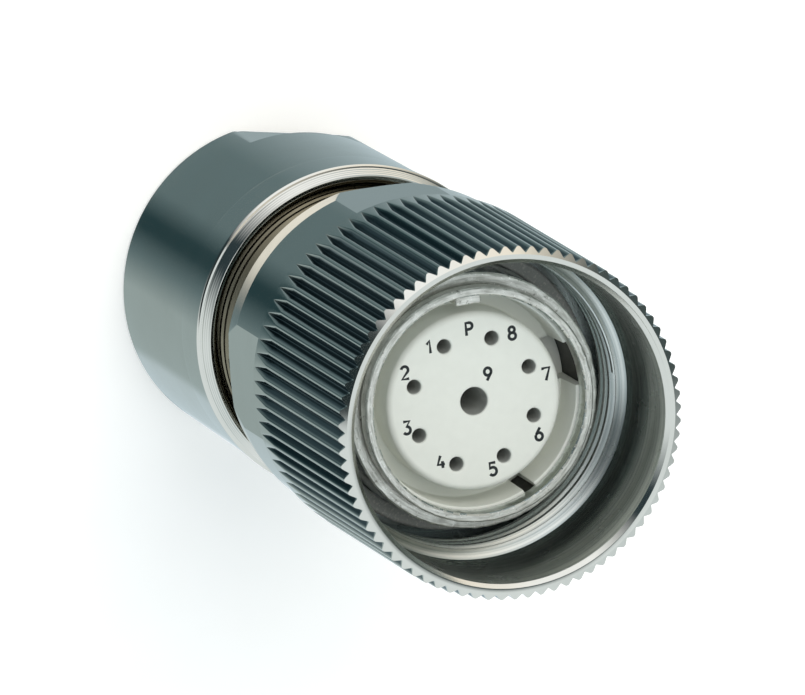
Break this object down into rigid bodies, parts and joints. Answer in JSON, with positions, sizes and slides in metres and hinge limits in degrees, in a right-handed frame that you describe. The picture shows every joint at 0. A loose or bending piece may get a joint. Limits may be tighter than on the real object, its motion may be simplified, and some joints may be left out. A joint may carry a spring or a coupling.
{
  "type": "circular cable connector",
  "caption": "Straight metal cable connector with knurled coupling nut, socket insert and rear clamp nut that grips the cable.",
  "frame": {"origin": "centre of the rear face of the clamp nut, on the axis", "axes": "+Z along the axis from cable end to mating face; the polarising key is at -Y"},
  "size_m": [0.026, 0.026, 0.0548],
  "materials": {
    "nickel_plate": "brass, bright nickel plated",
    "silver_plate": "brass, silver plated, dulled",
    "bare_brass": "turned brass",
    "white_pbt": "moulded, off white",
    "black_rubber": "matt rubber"
  },
  "bodies": {
    "housing": {"nut_snap_ring": "nickel_plate", "sleeve": "nickel_plate", "face_seal": "black_rubber", "body": "nickel_plate", "body_o_ring": "black_rubber", "insert_front": "white_pbt", "insert_rear": "white_pbt", "contact_1": "silver_plate", "contact_2": "silver_plate", "contact_3": "silver_plate", "contact_4": "silver_plate", "contact_5": "silver_plate", "contact_6": "silver_plate", "contact_7": "silver_plate", "contact_8": "silver_plate", "contact_9": "silver_plate", "spacer_half_a": "white_pbt", "spacer_half_b": "white_pbt", "shield_ring": "bare_brass", "clamp_cage": "white_pbt", "cable_seal": "black_rubber"},
    "coupling": {"coupling_nut": "nickel_plate"},
    "pressure": {"pressure_ring": "bare_brass"},
    "clamp": {"clamp_nut": "nickel_plate"}
  },
  "joints": [
    {"name": "nut_turn", "type": "hinge", "parent": "housing", "child": "coupling", "pos_m": [0, 0, 0.0352], "axis": [0, 0, 1], "continuous": true},
    {"name": "clamp_travel", "type": "slide", "parent": "housing", "child": "pressure", "axis": [0, 0, -1], "range_m": [0, 0.00801]},
    {"name": "clamp_turn", "type": "hinge", "parent": "pressure", "child": "clamp", "pos_m": [0, 0, 0.01], "axis": [0, 0, -1], "range_deg": [0, 2880]}
  ],
  "couplings": [
    {"joint": "clamp_travel", "follows": "clamp_turn", "m_per_rad": 0.00015915}
  ]
}
